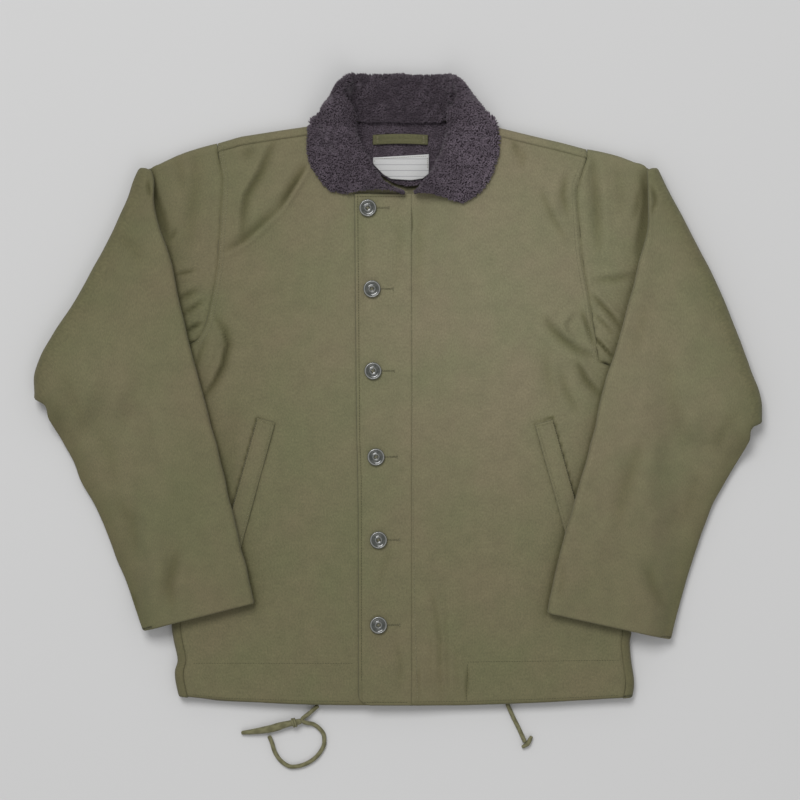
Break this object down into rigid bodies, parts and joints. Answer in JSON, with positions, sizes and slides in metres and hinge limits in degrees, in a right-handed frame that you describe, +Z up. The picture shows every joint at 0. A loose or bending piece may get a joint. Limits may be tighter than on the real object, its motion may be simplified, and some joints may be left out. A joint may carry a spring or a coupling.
{
  "type": "deck jacket",
  "caption": "Olive cotton deck jacket with a dark pile collar, laid flat on its back, buttoned front, sleeves folded in over the fronts.",
  "frame": {"origin": "on the surface that the jacket lies on, under the middle of its outline without the drawcords", "axes": "+X to the wearer's left, across the jacket from sleeve to sleeve; +Y from the hem to the collar; +Z up from the surface, out of the fronts"},
  "size_m": [0.8749, 0.8387, 0.0468],
  "materials": {
    "deck_cloth": "corded cotton cloth, olive, slight sheen",
    "pile": "dense curly pile, dark aubergine grey",
    "label_cloth": "plain woven cotton, off-white",
    "button": "satin, worn light along the rim",
    "cord": "round braided cotton, olive"
  },
  "bodies": {
    "root": {"back": "deck_cloth", "button_1": "button", "button_2": "button", "button_3": "button", "button_4": "button", "button_5": "button", "button_6": "button", "collar": "pile", "drawcord_left": "cord", "drawcord_left_tail": "cord", "drawcord_right": "cord", "drawcord_right_knot": "cord", "drawcord_right_tip": "cord", "front_left": "deck_cloth", "front_right": "deck_cloth", "hanger_loop": "deck_cloth", "label": "label_cloth", "neck_lining": "pile", "placket": "deck_cloth", "pocket_welt_left": "deck_cloth", "pocket_welt_right": "deck_cloth", "sleeve_left": "deck_cloth", "sleeve_right": "deck_cloth"}
  },
  "joints": []
}
